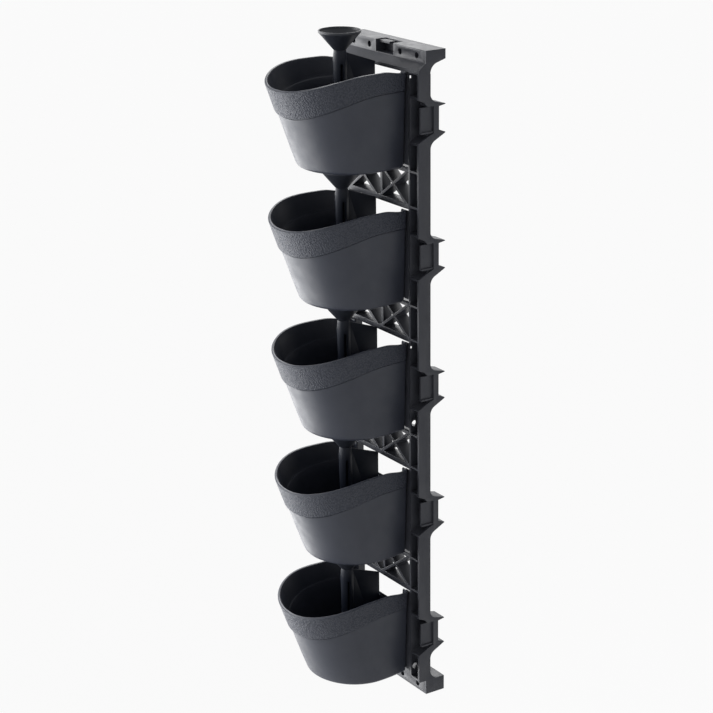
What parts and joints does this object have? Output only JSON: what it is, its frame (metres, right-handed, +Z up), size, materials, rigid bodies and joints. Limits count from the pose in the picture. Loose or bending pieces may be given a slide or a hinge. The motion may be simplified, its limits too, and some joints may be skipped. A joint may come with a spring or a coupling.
{
  "type": "vertical wall planter",
  "caption": "Tall wall frame carrying tapering half-round pots one above another, each with a funnel and a slotted watering tube that feed the pot below.",
  "frame": {"origin": "centre of the outer wall screws, on the wall plane, half way up the frame", "axes": "+X along the wall to the right as seen from the front, +Y into the wall, +Z up; the pots face -Y"},
  "size_m": [0.2052, 0.2184, 1.0236],
  "materials": {
    "frame_plastic": "matt anthracite moulding",
    "pot_plastic": "satin anthracite moulding with a grained band below the rim",
    "water_plastic": "satin anthracite moulding"
  },
  "bodies": {
    "frame": {"rail_right": "frame_plastic", "rail_left": "frame_plastic", "top_bar": "frame_plastic", "bottom_bar": "frame_plastic", "lattice_1": "frame_plastic", "lattice_2": "frame_plastic", "lattice_3": "frame_plastic", "lattice_4": "frame_plastic", "hanger_bar_1": "frame_plastic", "hanger_bar_2": "frame_plastic", "hanger_bar_3": "frame_plastic", "hanger_bar_4": "frame_plastic", "hanger_bar_5": "frame_plastic"},
    "planter_1": {"pot_1": "pot_plastic", "tube_1": "water_plastic"},
    "filler_1": {"funnel_1": "water_plastic"},
    "planter_2": {"pot_2": "pot_plastic", "tube_2": "water_plastic"},
    "filler_2": {"funnel_2": "water_plastic"},
    "planter_3": {"pot_3": "pot_plastic", "tube_3": "water_plastic"},
    "filler_3": {"funnel_3": "water_plastic"},
    "planter_4": {"pot_4": "pot_plastic", "tube_4": "water_plastic"},
    "filler_4": {"funnel_4": "water_plastic"},
    "planter_5": {"pot_5": "pot_plastic", "tube_5": "water_plastic"},
    "filler_5": {"funnel_5": "water_plastic"}
  },
  "joints": [
    {"name": "pot_1_pull", "type": "slide", "parent": "frame", "child": "planter_1", "axis": [0, -1, 0], "range_m": [0, 0.12]},
    {"name": "funnel_1_lift", "type": "slide", "parent": "planter_1", "child": "filler_1", "axis": [0, 0, 1], "range_m": [0, 0.06]},
    {"name": "pot_2_pull", "type": "slide", "parent": "frame", "child": "planter_2", "axis": [0, -1, 0], "range_m": [0, 0.12]},
    {"name": "funnel_2_lift", "type": "slide", "parent": "planter_2", "child": "filler_2", "axis": [0, 0, 1], "range_m": [0, 0.004]},
    {"name": "pot_3_pull", "type": "slide", "parent": "frame", "child": "planter_3", "axis": [0, -1, 0], "range_m": [0, 0.12]},
    {"name": "funnel_3_lift", "type": "slide", "parent": "planter_3", "child": "filler_3", "axis": [0, 0, 1], "range_m": [0, 0.004]},
    {"name": "pot_4_pull", "type": "slide", "parent": "frame", "child": "planter_4", "axis": [0, -1, 0], "range_m": [0, 0.12]},
    {"name": "funnel_4_lift", "type": "slide", "parent": "planter_4", "child": "filler_4", "axis": [0, 0, 1], "range_m": [0, 0.004]},
    {"name": "pot_5_pull", "type": "slide", "parent": "frame", "child": "planter_5", "axis": [0, -1, 0], "range_m": [0, 0.12]},
    {"name": "funnel_5_lift", "type": "slide", "parent": "planter_5", "child": "filler_5", "axis": [0, 0, 1], "range_m": [0, 0.004]}
  ]
}
